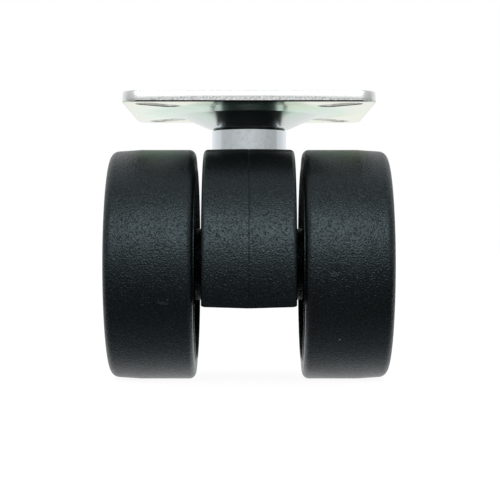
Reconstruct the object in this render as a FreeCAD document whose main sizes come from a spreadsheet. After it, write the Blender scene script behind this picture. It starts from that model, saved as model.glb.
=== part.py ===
# Twin-wheel plate caster: a dished steel plate, a collared swivel pin riveted into it,
# and a moulded housing that trails behind the pin and carries two wheels on one axle.
#
# Frame: millimetres, +Z up, origin on the swivel axis in the plane of the plate's upper face.
# The axle runs along X, and the wheels trail towards -Y.

import FreeCAD, Part
import math
import os
import Sketcher

SHEET = "Sizes"
HANDS = ("left", "right")
ROOT_TWO = math.sqrt(2)
LENGTH_TOLERANCE = 1e-4
VOLUME_TOLERANCE = 1e-6
WELL_THROUGH = 3  # a through cut is this many times as long as the stock it passes

SIZES = {
    "plate_thickness": 2.4,
    "plate_corner_radius": 3.5,
    "plate_edge_round": 0.5,
    "dish_rim_radius": 20.6,
    "dish_shoulder_radius": 15.8,
    "dish_shoulder_drop": 0.8,
    "dish_floor_radius": 8.7,
    "dish_depth": 3.9,
    "dish_rim_bend": 6.0,
    "dish_shoulder_bend": 1.2,
    "dish_floor_bend": 0.8,
    "slot_width": 5.0,
    "slot_length": 11.5,
    "slot_dish_margin": 1.37,
    "slot_edge_margin": 2.6,
    "slot_count": 4,
    "spigot_diameter": 8.0,
    "rivet_clearance": 0.02,
    "rivet_head_diameter": 12.5,
    "rivet_head_height": 1.9,
    "rivet_head_edge": 0.4,
    "collar_diameter": 16.9,
    "collar_height": 5.1,
    "collar_relief_height": 0.35,
    "collar_relief_depth": 0.6,
    "pin_diameter": 10.0,
    "pin_clearance": 0.05,
    "pin_stub": 1.2,
    "end_chamfer": 0.7,
    "swivel_float": 0.05,
    "washer_clearance": 0.15,
    "thrust_washer_thickness": 0.4,
    "king_washer_thickness": 1.0,
    "retainer_thickness": 0.5,
    "retainer_dish": 0.7,
    "retainer_width": 2.9,
    "retainer_bite": 0.02,
    "retainer_slot": 0.9,
    "retainer_teeth": 6,
    "trail": 14.0,
    "housing_width": 19.7,
    "drum_inset": 0.05,
    "drum_floor_drop": 8.85,
    "drum_floor_rise": 0.3,
    "housing_edge_round": 0.9,
    "housing_front_round": 3.0,
    "housing_wall": 2.9,
    "web_thickness": 2.4,
    "core_margin": 1.2,
    "cell_count": 5,
    "cell_first_angle": 69.0,
    "cell_angle": 16.5,
    "cell_pitch_angle": 24.0,
    "socket_depth": 22.0,
    "access_radius": 7.2,
    "access_clearance": 0.3,
    "axle_boss_radius": 7.8,
    "boss_proud": 2.05,
    "axle_diameter": 7.0,
    "axle_clearance": 0.05,
    "axle_stub": 0.7,
    "end_float": 0.1,
    "wheel_diameter": 50.0,
    "overall_width": 60.0,
    "rim_gap": 1.75,
    "lip_gap": 1.35,
    "lip_width": 0.5,
    "rim_wall": 4.3,
    "rim_draft": 0.4,
    "tread_inner_round": 1.4,
    "tread_outer_round": 1.8,
    "tread_taper_width": 6.5,
    "tread_taper_drop": 0.44,
    "face_flat_radius": 19.5,
    "face_dish": 0.9,
    "disc_thickness": 2.4,
    "hub_radius": 6.2,
    "hub_setback": 4.5,
    "hub_floor": 2.2,
    "pocket_wall": 2.0,
    "wheel_rib_count": 8,
    "wheel_rib_thickness": 1.6,
    "wheel_rib_setback": 12.4,
    "rib_root": 0.6,
    "cap_radius": 8.5,
    "cap_fit": 0.05,
    "cap_wall": 1.3,
    "cap_clearance": 0.4,
    "cap_crown": 1.4,
    "cap_dome": 0.4,
    "cap_edge_round": 0.5,
}


class Size:
    """A length worked out from the sheet: its value now, and the expression that binds it."""

    def __init__(self, value, text):
        self.value = value
        self.text = text

    @staticmethod
    def of(other):
        return other if isinstance(other, Size) else Size(other, repr(other))

    def joined(self, sign, other, value):
        return Size(value, f"({self.text} {sign} {other.text})")

    def __add__(self, other):
        other = Size.of(other)
        return self.joined("+", other, self.value + other.value)

    def __sub__(self, other):
        other = Size.of(other)
        return self.joined("-", other, self.value - other.value)

    def __mul__(self, other):
        other = Size.of(other)
        return self.joined("*", other, self.value * other.value)

    def __truediv__(self, other):
        other = Size.of(other)
        return self.joined("/", other, self.value / other.value)

    def __radd__(self, other):
        return Size.of(other) + self

    def __rsub__(self, other):
        return Size.of(other) - self

    def __rmul__(self, other):
        return Size.of(other) * self

    def __neg__(self):
        return self * -1.0


doc = FreeCAD.newDocument("PlateCaster")
sheet = doc.addObject("Spreadsheet::Sheet", SHEET)
for row, (alias, number) in enumerate(SIZES.items(), 1):
    sheet.set(f"A{row}", alias)
    sheet.set(f"B{row}", str(number))
    sheet.setAlias(f"B{row}", alias)
doc.recompute()


def size(alias):
    return Size(SIZES[alias], f"{SHEET}.{alias}")


def bind(feature, prop, length):
    feature.setExpression(prop, Size.of(length).text)


# Heights on the swivel axis, from the plate's upper face down

plate_under = -size("plate_thickness")
dish_floor_under = plate_under - size("dish_depth")
dish_floor_top = -size("dish_depth")
collar_under = dish_floor_under - size("collar_height")
washer_top = collar_under - size("swivel_float")
housing_top = washer_top - size("thrust_washer_thickness")
socket_ledge = housing_top - size("socket_depth")
king_washer_top = socket_ledge - size("swivel_float")
pin_retainer_top = king_washer_top - size("king_washer_thickness")
retainer_height = size("retainer_thickness") + size("retainer_dish")
pin_end = pin_retainer_top - retainer_height - size("pin_stub")

# The axle's place and the radii round it

wheel_radius = size("wheel_diameter") / 2
drum_radius = wheel_radius - size("drum_inset")
axle_y = -size("trail")
axle_z = housing_top - drum_radius
drum_floor = axle_z - size("drum_floor_drop")
axle_radius = size("axle_diameter") / 2
pin_radius = size("pin_diameter") / 2
collar_radius = size("collar_diameter") / 2
washer_bore = pin_radius + size("washer_clearance")
king_washer_radius = size("access_radius") - size("access_clearance")

# The plate's plan: slots along its diagonals, with a margin of metal inside and outside them

slot_radius = size("slot_width") / 2
slot_reach = (size("slot_length") - size("slot_width")) / 2 / ROOT_TWO
slot_start = (size("dish_rim_radius") + size("slot_dish_margin") + slot_radius) / ROOT_TWO
slot_place = slot_start + slot_reach
plate_half = slot_place + slot_reach + slot_radius + size("slot_edge_margin")

# Distances along the axle, from the middle of the housing out

side_face = size("housing_width") / 2
boss_face = side_face + size("boss_proud")
lip_face = side_face + size("lip_gap")
rim_face = side_face + size("rim_gap")
hub_inner = boss_face + size("end_float")
outer_face = size("overall_width") / 2
hub_outer = outer_face - size("hub_setback")
axle_retainer_face = hub_outer + size("end_float")
axle_end = axle_retainer_face + retainer_height + size("axle_stub")


def new_body(name):
    body = doc.addObject("PartDesign::Body", name)
    body.Label = name
    return body


def origin_feature(body, role):
    return next(part for part in body.Origin.OriginFeatures if part.Role == role)


def new_sketch(body, name, plane, offset=(0, 0, 0)):
    """A sketch on one of the body's own planes, its origin offset along the plane's axes."""
    sketch = body.newObject("Sketcher::SketchObject", name)
    sketch.AttachmentSupport = (origin_feature(body, plane), [""])
    sketch.MapMode = "FlatFace"
    for axis, shift in zip("xyz", offset):
        if isinstance(shift, Size):
            bind(sketch, f"AttachmentOffset.Base.{axis}", shift)
    return sketch


def vector(x, y):
    return FreeCAD.Vector(Size.of(x).value, Size.of(y).value, 0)


def hold(sketch, kind, *where, length):
    """One dimension of a sketch, bound to the sheet."""
    length = Size.of(length)
    index = sketch.addConstraint(Sketcher.Constraint(kind, *where, length.value))
    sketch.renameConstraint(index, f"{kind}{index}")
    sketch.setExpression(f"Constraints.{kind}{index}", length.text)


def hold_point(sketch, curve, end, x, y):
    """Fixes one end of a curve from the sketch's origin."""
    for length, kind, axis in ((x, "DistanceX", -2), (y, "DistanceY", -1)):
        if isinstance(length, Size):
            hold(sketch, kind, -1, 1, curve, end, length=length)
        else:
            sketch.addConstraint(Sketcher.Constraint("PointOnObject", curve, end, axis))


def polygon(sketch, points):
    """A closed outline of straight lines, each corner held by its own two sizes."""
    count = len(points)
    for index in range(count):
        start, stop = points[index], points[(index + 1) % count]
        sketch.addGeometry(Part.LineSegment(vector(*start), vector(*stop)))
    for index in range(count):
        sketch.addConstraint(Sketcher.Constraint("Coincident", index, 2, (index + 1) % count, 1))
    for index, point in enumerate(points):
        hold_point(sketch, index, 1, *point)
    return sketch


def circle(sketch, radius, x=0, y=0):
    centre = vector(x, y)
    curve = sketch.addGeometry(Part.Circle(centre, FreeCAD.Vector(0, 0, 1), radius.value))
    if isinstance(x, Size) or isinstance(y, Size):
        hold_point(sketch, curve, 3, x, y)
    else:
        sketch.addConstraint(Sketcher.Constraint("Coincident", curve, 3, -1, 1))
    hold(sketch, "Radius", curve, length=radius)
    return sketch


def pad(body, sketch, length, reverse=False, both_ways=False):
    feature = body.newObject("PartDesign::Pad", f"{sketch.Name}Pad")
    feature.Profile = sketch
    feature.SideType = "Symmetric" if both_ways else "One side"
    feature.Reversed = reverse
    bind(feature, "Length", length)
    return feature


def solid_of(body):
    doc.recompute()
    return body.Shape


def cut_checked(body, feature, before):
    """Stops the build if a cut has missed the solid."""
    if solid_of(body).Volume >= before - VOLUME_TOLERANCE:
        raise RuntimeError(f"{feature.Label} cuts nothing")
    return feature


def pocket(body, sketch, length, reverse=False, both_ways=False):
    before = solid_of(body).Volume
    feature = body.newObject("PartDesign::Pocket", f"{sketch.Name}Pocket")
    feature.Profile = sketch
    feature.SideType = "Symmetric" if both_ways else "One side"
    feature.Reversed = reverse
    bind(feature, "Length", length)
    return cut_checked(body, feature, before)


def revolve(body, sketch, axis):
    feature = body.newObject("PartDesign::Revolution", f"{sketch.Name}Turn")
    feature.Profile = sketch
    feature.ReferenceAxis = (sketch, [axis])
    feature.Angle = 360
    return feature


def groove(body, sketch, axis):
    before = solid_of(body).Volume
    feature = body.newObject("PartDesign::Groove", f"{sketch.Name}Groove")
    feature.Profile = sketch
    feature.ReferenceAxis = (sketch, [axis])
    feature.Angle = 360
    return cut_checked(body, feature, before)


def around(body, feature, axis, count, step=None):
    """Repeats a feature about an axis, all the way round or by a fixed step."""
    pattern = body.newObject("PartDesign::PolarPattern", f"{feature.Name}Round")
    pattern.Originals = [feature]
    pattern.Axis = axis
    bind(pattern, "Occurrences", count)
    if step is None:
        pattern.Angle = 360
    else:
        pattern.Mode = "Spacing"
        bind(pattern, "Offset", step)
    body.Tip = pattern
    return pattern


def edges(body, wanted):
    shape = solid_of(body)
    return [f"Edge{index}" for index, edge in enumerate(shape.Edges, 1) if wanted(edge)]


def soften(body, name, kind, radius, wanted):
    """Fillets or chamfers the edges that a test picks."""
    picked = edges(body, wanted)
    if not picked:
        raise RuntimeError(f"{name} finds no edge")
    base = body.Tip
    feature = body.newObject(f"PartDesign::{kind}", name)
    feature.Base = (base, picked)
    bind(feature, "Radius" if kind == "Fillet" else "Size", radius)
    doc.recompute()
    return feature


def near(one, other):
    return abs(one - Size.of(other).value) < LENGTH_TOLERANCE


def ring_edge(edge, axis, radius, place):
    """True for a circular edge of this radius about X or Z, at this place along it."""
    curve = edge.Curve
    if not isinstance(curve, Part.Circle):
        return False
    along = {"X": curve.Center.x, "Z": curve.Center.z}[axis]
    return near(curve.Radius, radius) and near(along, place)


def slot(sketch, near_end, far_end, radius):
    """A round-ended slot whose ends lie on the diagonal at these two places."""
    diagonal = math.radians(45)
    quarter = math.pi / 2
    ends = [near_end, far_end]
    inner, outer = [vector(place, place) for place in ends]
    side = FreeCAD.Vector(-1, 1, 0) * (radius.value / ROOT_TWO)

    def half_round(centre, start):
        whole = Part.Circle(centre, FreeCAD.Vector(0, 0, 1), radius.value)
        return Part.ArcOfCircle(whole, start, start + math.pi)

    sketch.addGeometry(half_round(inner, diagonal + quarter))
    sketch.addGeometry(Part.LineSegment(inner - side, outer - side))
    sketch.addGeometry(half_round(outer, diagonal - quarter))
    sketch.addGeometry(Part.LineSegment(outer + side, inner + side))
    for curve in range(4):
        sketch.addConstraint(Sketcher.Constraint("Tangent", curve, 2, (curve + 1) % 4, 1))
    for curve, place in zip((0, 2), ends):
        hold_point(sketch, curve, 3, place, place)
    hold(sketch, "Radius", 0, length=radius)
    return sketch


def ring(name, top, inner, outer, thickness):
    """A flat washer whose upper face lies at this height."""
    body = new_body(name)
    sketch = new_sketch(body, f"{name}_outline", "XY_Plane", (0, 0, top))
    circle(sketch, outer)
    circle(sketch, inner)
    pad(body, sketch, thickness, reverse=True)
    return body


def outward(length, hand):
    """A distance along the axle on the left or the right side of the housing."""
    return -length if hand == "left" else length


def axle_section(body, name):
    """A sketch through the axle: X along the axle, Y out from it."""
    return new_sketch(body, name, "XZ_Plane", (0, axle_z, -axle_y))


def axle_side_view(body, name, place=0):
    """A sketch square to the axle: its origin on the axle, X forwards, Y up."""
    return new_sketch(body, name, "YZ_Plane", (axle_y, axle_z, place))


def make_top_plate():
    body = new_body("top_plate")
    half = plate_half
    thickness = size("plate_thickness")
    outline = new_sketch(body, "plate_outline", "XY_Plane")
    polygon(outline, [(-half, -half), (half, -half), (half, half), (-half, half)])
    pad(body, outline, thickness, reverse=True)
    corner = size("plate_corner_radius")

    def upright(edge):
        straight = isinstance(edge.Curve, Part.Line)
        return straight and near(abs(edge.tangentAt(edge.FirstParameter).z), 1)

    soften(body, "plate_corners", "Fillet", corner, upright)

    rim, shoulder = size("dish_rim_radius"), size("dish_shoulder_radius")
    floor, drop = size("dish_floor_radius"), size("dish_shoulder_drop")
    shoulder_under = plate_under - drop
    cup = new_sketch(body, "dish_cup", "XZ_Plane")
    inside = plate_under / 2
    polygon(cup, [
        (0, inside), (rim, inside), (rim, plate_under), (shoulder, shoulder_under),
        (floor, dish_floor_under), (0, dish_floor_under),
    ])
    revolve(body, cup, "V_Axis")
    hollow = new_sketch(body, "dish_hollow", "XZ_Plane")
    polygon(hollow, [
        (0, 0), (rim, 0), (shoulder, -drop), (floor, dish_floor_top), (0, dish_floor_top),
    ])
    groove(body, hollow, "V_Axis")
    hole = new_sketch(body, "spigot_hole", "XY_Plane")
    circle(hole, size("spigot_diameter") / 2 + size("rivet_clearance"))
    pocket(body, hole, -dish_floor_under)

    opening = new_sketch(body, "screw_slot", "XY_Plane")
    slot(opening, slot_start, slot_place + slot_reach, slot_radius)
    cut = pocket(body, opening, thickness)
    around(body, cut, (origin_feature(body, "Z_Axis"), [""]), size("slot_count"))

    rim_bend, shoulder_bend = size("dish_rim_bend"), size("dish_shoulder_bend")
    floor_bend = size("dish_floor_bend")
    bends = {
        "rim_under": (rim, plate_under, rim_bend),
        "rim_top": (rim, 0, rim_bend + thickness),
        "shoulder_under": (shoulder, shoulder_under, shoulder_bend),
        "shoulder_top": (shoulder, -drop, shoulder_bend + thickness),
        "floor_under": (floor, dish_floor_under, floor_bend + thickness),
        "floor_top": (floor, dish_floor_top, floor_bend),
    }
    for name, (ring_radius, place, bend) in bends.items():
        soften(body, f"dish_{name}", "Fillet", bend,
               lambda edge: ring_edge(edge, "Z", ring_radius, place))

    def upper_outer_edge(edge):
        middle = edge.valueAt((edge.FirstParameter + edge.LastParameter) / 2)
        straight = near(max(abs(middle.x), abs(middle.y)), half)
        rounded = isinstance(edge.Curve, Part.Circle) and near(edge.Curve.Radius, corner)
        return near(middle.z, 0) and (straight or rounded)

    soften(body, "sheared_edge_roll", "Fillet", size("plate_edge_round"), upper_outer_edge)
    return body


def make_swivel_pin():
    body = new_body("swivel_pin")
    head, spigot = size("rivet_head_diameter") / 2, size("spigot_diameter") / 2
    head_top = dish_floor_top + size("rivet_head_height")
    relief = collar_radius - size("collar_relief_depth")
    relief_under = dish_floor_under - size("collar_relief_height")
    section = new_sketch(body, "pin_section", "XZ_Plane")
    polygon(section, [
        (0, head_top), (head, head_top), (head, dish_floor_top), (spigot, dish_floor_top),
        (spigot, dish_floor_under), (relief, dish_floor_under), (relief, relief_under),
        (collar_radius, relief_under), (collar_radius, collar_under),
        (pin_radius, collar_under), (pin_radius, pin_end), (0, pin_end),
    ])
    revolve(body, section, "V_Axis")
    soften(body, "peened_head", "Fillet", size("rivet_head_height") - size("rivet_head_edge"),
           lambda edge: ring_edge(edge, "Z", head, head_top))
    soften(body, "pin_point", "Chamfer", size("end_chamfer"),
           lambda edge: ring_edge(edge, "Z", pin_radius, pin_end))
    return body


def make_thrust_washer():
    outer = collar_radius - size("washer_clearance")
    return ring("thrust_washer", washer_top, washer_bore, outer, size("thrust_washer_thickness"))


def make_king_washer():
    thickness = size("king_washer_thickness")
    return ring("king_washer", king_washer_top, washer_bore, king_washer_radius, thickness)


def retainer_section(shaft, outer):
    """The corners of a push-on retainer, radius and height: a flat rim, a dished middle."""
    bore = shaft + size("retainer_bite")
    knee = (bore + outer) / 2
    thick, dish = size("retainer_thickness"), size("retainer_dish")
    return [
        (outer, 0), (outer, thick), (knee, thick), (bore, thick + dish), (bore, dish), (knee, 0),
    ]


def cut_teeth(body, sketch, shaft, outer):
    """Radial slots that part the retainer's teeth."""
    half = size("retainer_slot") / 2
    start, stop = shaft / 2, (shaft + outer) / 2
    polygon(sketch, [(start, -half), (stop, -half), (stop, half), (start, half)])
    cut = pocket(body, sketch, retainer_height * WELL_THROUGH, both_ways=True)
    around(body, cut, (sketch, ["N_Axis"]), size("retainer_teeth"))


def make_pin_retainer():
    body = new_body("pin_retainer")
    section = new_sketch(body, "pin_retainer_section", "XZ_Plane")
    corners = retainer_section(pin_radius, king_washer_radius)
    polygon(section, [(radius, pin_retainer_top - height) for radius, height in corners])
    revolve(body, section, "V_Axis")
    teeth = new_sketch(body, "pin_retainer_teeth", "XY_Plane", (0, 0, pin_retainer_top))
    cut_teeth(body, teeth, pin_radius, king_washer_radius)
    return body


def make_axle_retainer(hand):
    name = f"axle_retainer_{hand}"
    body = new_body(name)
    outer = axle_radius + size("retainer_width")
    section = axle_section(body, f"{name}_section")
    corners = retainer_section(axle_radius, outer)
    polygon(section, [
        (outward(axle_retainer_face + height, hand), radius) for radius, height in corners
    ])
    revolve(body, section, "H_Axis")
    teeth = axle_side_view(body, f"{name}_teeth", outward(axle_retainer_face, hand))
    cut_teeth(body, teeth, axle_radius, outer)
    return body


def make_axle():
    body = new_body("axle")
    section = axle_side_view(body, "axle_section")
    circle(section, axle_radius)
    pad(body, section, axle_end * 2, both_ways=True)
    ends = [-axle_end, axle_end]
    soften(body, "axle_points", "Chamfer", size("end_chamfer"),
           lambda edge: any(ring_edge(edge, "X", axle_radius, end) for end in ends))
    return body


def housing_outline(sketch):
    """The housing from the side: a drum with a flat floor, squared off over the pin's socket."""
    drum = drum_radius.value
    drop = size("drum_floor_drop")
    corner = size("housing_front_round")
    turn = math.asin(drop.value / drum)
    half_floor = drum * math.cos(turn)
    inner = drum - corner.value
    normal = FreeCAD.Vector(0, 0, 1)
    drum_circle = Part.Circle(vector(0, 0), normal, drum)
    corner_circle = Part.Circle(vector(inner, inner), normal, corner.value)
    floor_start, floor_stop = vector(-half_floor, -drop), vector(half_floor, -drop)
    trailing, floor, leading, front, round_corner, top = range(6)
    sketch.addGeometry(Part.ArcOfCircle(drum_circle, math.pi / 2, math.pi + turn))
    sketch.addGeometry(Part.LineSegment(floor_start, floor_stop))
    sketch.addGeometry(Part.ArcOfCircle(drum_circle, -turn, 0))
    sketch.addGeometry(Part.LineSegment(vector(drum, 0), vector(drum, inner)))
    sketch.addGeometry(Part.ArcOfCircle(corner_circle, 0, math.pi / 2))
    sketch.addGeometry(Part.LineSegment(vector(inner, drum), vector(0, drum)))
    rules = [
        ("Coincident", trailing, 3, -1, 1), ("Coincident", leading, 3, -1, 1),
        ("Coincident", trailing, 2, floor, 1), ("Coincident", floor, 2, leading, 1),
        ("Horizontal", floor), ("Vertical", front), ("Horizontal", top),
        ("Tangent", leading, 2, front, 1), ("Tangent", front, 2, round_corner, 1),
        ("Tangent", round_corner, 2, top, 1), ("Tangent", top, 2, trailing, 1),
    ]
    for rule in rules:
        sketch.addConstraint(Sketcher.Constraint(*rule))
    hold(sketch, "Radius", trailing, length=drum_radius)
    hold(sketch, "Radius", leading, length=drum_radius)
    hold(sketch, "Radius", round_corner, length=corner)
    hold(sketch, "DistanceY", -1, 1, floor, 1, length=-drop)
    return sketch


def cell_outline(sketch):
    """One cored cell beside the axle boss: a sector between the core and the drum's wall."""
    inner = size("axle_boss_radius") + size("core_margin")
    outer = drum_radius - size("housing_wall")
    first = size("cell_first_angle")
    last = first + size("cell_angle")
    start, stop = math.radians(first.value), math.radians(last.value)
    normal = FreeCAD.Vector(0, 0, 1)

    def spoke(angle):
        direction = FreeCAD.Vector(math.cos(angle), math.sin(angle), 0)
        return Part.LineSegment(direction * inner.value, direction * outer.value)

    for radius in (inner, outer):
        whole = Part.Circle(vector(0, 0), normal, radius.value)
        sketch.addGeometry(Part.ArcOfCircle(whole, start, stop))
    sketch.addGeometry(spoke(start))
    sketch.addGeometry(spoke(stop))
    core, wall, first_side, last_side = range(4)
    rules = [
        ("Coincident", core, 3, -1, 1), ("Coincident", wall, 3, -1, 1),
        ("Coincident", core, 1, first_side, 1), ("Coincident", wall, 1, first_side, 2),
        ("Coincident", core, 2, last_side, 1), ("Coincident", wall, 2, last_side, 2),
        ("PointOnObject", -1, 1, first_side), ("PointOnObject", -1, 1, last_side),
    ]
    for rule in rules:
        sketch.addConstraint(Sketcher.Constraint(*rule))
    hold(sketch, "Radius", core, length=inner)
    hold(sketch, "Radius", wall, length=outer)
    for line, angle in ((first_side, first), (last_side, last)):
        degrees = Size(math.radians(angle.value), f"{angle.text} * 1 deg")
        hold(sketch, "Angle", line, length=degrees)
    return sketch


def make_housing():
    body = new_body("housing")
    outline = axle_side_view(body, "housing_outline")
    housing_outline(outline)
    pad(body, outline, size("housing_width"), both_ways=True)
    keel = axle_section(body, "floor_slope")
    bottom = -size("drum_floor_drop")
    eaves = bottom + size("drum_floor_rise")
    deep = -drum_radius
    polygon(keel, [
        (-side_face, eaves), (0, bottom), (side_face, eaves), (side_face, deep), (-side_face, deep),
    ])
    pocket(body, keel, drum_radius * 2, both_ways=True)

    def side_edge(edge):
        return all(near(abs(corner.X), side_face) for corner in edge.Vertexes)

    soften(body, "housing_edges", "Fillet", size("housing_edge_round"), side_edge)

    boss = axle_side_view(body, "axle_boss")
    circle(boss, size("axle_boss_radius"))
    pad(body, boss, boss_face * 2, both_ways=True)

    depth = (size("housing_width") - size("web_thickness")) / 2
    for hand in HANDS:
        cell = axle_side_view(body, f"{hand}_cell", outward(side_face, hand))
        cell_outline(cell)
        cut = pocket(body, cell, depth, reverse=hand == "left")
        around(body, cut, (cell, ["N_Axis"]), size("cell_count"), size("cell_pitch_angle"))

    bore = axle_side_view(body, "axle_bore")
    circle(bore, axle_radius)
    pocket(body, bore, boss_face * WELL_THROUGH, both_ways=True)
    socket = new_sketch(body, "pin_socket", "XY_Plane", (0, 0, housing_top))
    circle(socket, pin_radius + size("pin_clearance"))
    pocket(body, socket, size("socket_depth"))
    access = new_sketch(body, "retainer_access", "XY_Plane", (0, 0, socket_ledge))
    circle(access, size("access_radius"))
    pocket(body, access, socket_ledge - drum_floor)
    return body


def make_wheel(hand):
    name = f"wheel_{hand}"
    body = new_body(name)
    bore = axle_radius + size("axle_clearance")
    mouth = wheel_radius - size("rim_wall")
    root = mouth - size("rim_draft")
    lip_edge = mouth + size("lip_width")
    step_edge = lip_edge + rim_face - lip_face
    shoulder = wheel_radius - size("tread_taper_drop")
    face_flat = size("face_flat_radius")
    pocket_radius = size("cap_radius") + size("cap_fit")
    pocket_outer = pocket_radius + size("pocket_wall")
    dished = outer_face - size("face_dish")
    disc = size("disc_thickness")
    hub = size("hub_radius")
    floor_inner = hub_outer - size("hub_floor")
    taper_start = outer_face - size("tread_taper_width")
    hub_and_disc = [
        (hub_inner, bore), (hub_inner, hub), (floor_inner, hub), (floor_inner, pocket_outer),
        (dished - disc, pocket_outer), (outer_face - disc, root),
    ]
    rim = [
        (lip_face, mouth), (lip_face, lip_edge), (rim_face, step_edge), (rim_face, wheel_radius),
        (taper_start, wheel_radius), (outer_face, shoulder),
    ]
    outside = [
        (outer_face, face_flat), (dished, pocket_outer), (dished, pocket_radius),
        (hub_outer, pocket_radius), (hub_outer, bore),
    ]
    corners = hub_and_disc + rim + outside
    section = axle_section(body, f"{name}_section")
    polygon(section, [(outward(along, hand), radius) for along, radius in corners])
    revolve(body, section, "H_Axis")
    soften(body, f"{name}_inner_edge", "Fillet", size("tread_inner_round"),
           lambda edge: ring_edge(edge, "X", wheel_radius, outward(rim_face, hand)))
    soften(body, f"{name}_outer_edge", "Fillet", size("tread_outer_round"),
           lambda edge: ring_edge(edge, "X", shoulder, outward(outer_face, hand)))

    sunk = size("rib_root")
    rib_front = rim_face + size("wheel_rib_setback")
    rib = axle_section(body, f"{name}_rib")
    rib_corners = [
        (rib_front, pocket_outer - sunk), (rib_front, mouth + sunk),
        (outer_face - disc + sunk, mouth + sunk), (dished - disc + sunk, pocket_outer - sunk),
    ]
    polygon(rib, [(outward(along, hand), radius) for along, radius in rib_corners])
    blade = pad(body, rib, size("wheel_rib_thickness"), both_ways=True)
    around(body, blade, (rib, ["H_Axis"]), size("wheel_rib_count"))
    return body


def make_hub_cap(hand):
    name = f"hub_cap_{hand}"
    body = new_body(name)
    outer = size("cap_radius")
    inner = outer - size("cap_wall")
    crown_inner = axle_end + size("cap_clearance")
    crown = crown_inner + size("cap_crown")
    domed = crown + size("cap_dome")
    corners = [
        (hub_outer, inner), (hub_outer, outer), (crown, outer), (domed, outer / 2), (domed, 0),
        (crown_inner, 0), (crown_inner, inner),
    ]
    section = axle_section(body, f"{name}_section")
    polygon(section, [(outward(along, hand), radius) for along, radius in corners])
    revolve(body, section, "H_Axis")
    soften(body, f"{name}_edge", "Fillet", size("cap_edge_round"),
           lambda edge: ring_edge(edge, "X", outer, outward(crown, hand)))
    return body


pieces = [
    make_top_plate(), make_swivel_pin(), make_thrust_washer(), make_king_washer(),
    make_pin_retainer(), make_housing(), make_axle(),
]
for hand in HANDS:
    pieces.append(make_wheel(hand))
    pieces.append(make_axle_retainer(hand))
    pieces.append(make_hub_cap(hand))
doc.recompute()

failed = [part.Name for part in doc.Objects if {"Invalid", "Error"} & set(part.State)]
if failed:
    raise RuntimeError(f"failed features: {failed}")
for piece in pieces:
    shape = piece.Shape
    if shape.isNull() or not shape.isValid() or len(shape.Solids) != 1:
        raise RuntimeError(f"{piece.Label} is not one sound solid")

os.makedirs("parts", exist_ok=True)
for piece in pieces:
    piece.Shape.exportStep(os.path.join("parts", f"{piece.Label}.step"))
    print(piece.Label, round(piece.Shape.Volume, 2))
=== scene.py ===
# Twin-wheel plate caster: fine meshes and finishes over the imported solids.
# Metres, in the frame of the solids: +Z up out of the plate, the axle along X, wheels towards -Y.

import math
import random

import bmesh
import bpy
from mathutils import Matrix, Vector


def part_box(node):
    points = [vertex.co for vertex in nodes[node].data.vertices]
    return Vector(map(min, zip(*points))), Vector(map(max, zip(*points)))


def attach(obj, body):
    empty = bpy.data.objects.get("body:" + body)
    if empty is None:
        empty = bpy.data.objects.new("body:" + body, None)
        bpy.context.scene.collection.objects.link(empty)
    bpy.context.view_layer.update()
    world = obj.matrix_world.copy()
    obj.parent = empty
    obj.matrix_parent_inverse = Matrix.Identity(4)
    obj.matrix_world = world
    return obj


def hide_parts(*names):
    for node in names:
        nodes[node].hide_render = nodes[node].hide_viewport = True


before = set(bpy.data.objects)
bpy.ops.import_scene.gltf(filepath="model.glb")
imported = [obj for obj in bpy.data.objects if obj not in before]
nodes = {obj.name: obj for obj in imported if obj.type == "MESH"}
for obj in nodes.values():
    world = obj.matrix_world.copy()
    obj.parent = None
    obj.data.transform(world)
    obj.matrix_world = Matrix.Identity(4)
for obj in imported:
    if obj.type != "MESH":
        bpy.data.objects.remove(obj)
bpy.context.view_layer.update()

# Sizes of the caster, in millimetres
MM = 0.001

# The plate's sheared edge: rolled over at the top, burnished down to the shear depth, torn below
# that, worn round at its lower arris. The sag is the burnished band's extra depth per square of
# the distance from the middle of a side.
PLATE_THICKNESS = 2.4
PLATE_CORNER = 3.5
EDGE_ROLL = 0.28
EDGE_ARRIS = 0.23
SHEAR_DEPTH = 1.3
SHEAR_SAG = 0.0009
SHEAR_SEED = 11
TORN_ROWS = 4
TORN_STEP = 0.24
TORN_BITE = 0.02
TORN_WAVE = 0.35
# The painted shadow line under the edge: its height above the underside, and its end short of the
# corners.
BURR_SHADOW_HEIGHT = 0.31
BURR_SHADOW_END = 0.5

# The plate's dish, in two slopes, and its slots
DISH_RIM = 20.6
DISH_MARGIN = 1.0
DISH_SHOULDER = 15.8
SHOULDER_DROP = 0.8
DISH_FLOOR = 8.7
DISH_DEPTH = 3.9
DISH_STEPS = 192
RIM_BEND = 6.0
SHOULDER_BEND = 1.2
FLOOR_BEND = 0.8
SLOT_PLACE = 19.6
SLOT_RADIUS = 2.5
SLOT_LENGTH = 11.5
SLOT_ROLL = 0.35
SLOT_FOOT = 0.2
SLOT_SEED = 20
SLOT_WALL_MARGIN = 0.06

# The pin. The rivet head's crown is given by radius, depth under its highest ring and round.
RIVET_CROWN = [(0, 0.35, 0), (0.9, 0.30, 0.4), (1.7, 0.06, 0.5), (3.4, 0, 1.5), (5.2, 0.45, 1.6)]
SPIGOT_HOLE = 4.02
SPIGOT_PLAY = 0.02
HEAD_RADIUS = 6.25
HEAD_HEIGHT = 1.9
HEAD_RIM = 0.75
COLLAR_RADIUS = 8.45
COLLAR_HEIGHT = 5.1
RELIEF_HEIGHT = 0.35
RELIEF_DEPTH = 0.3
PIN_RADIUS = 5.0
PIN_POINT = 0.7

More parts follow.
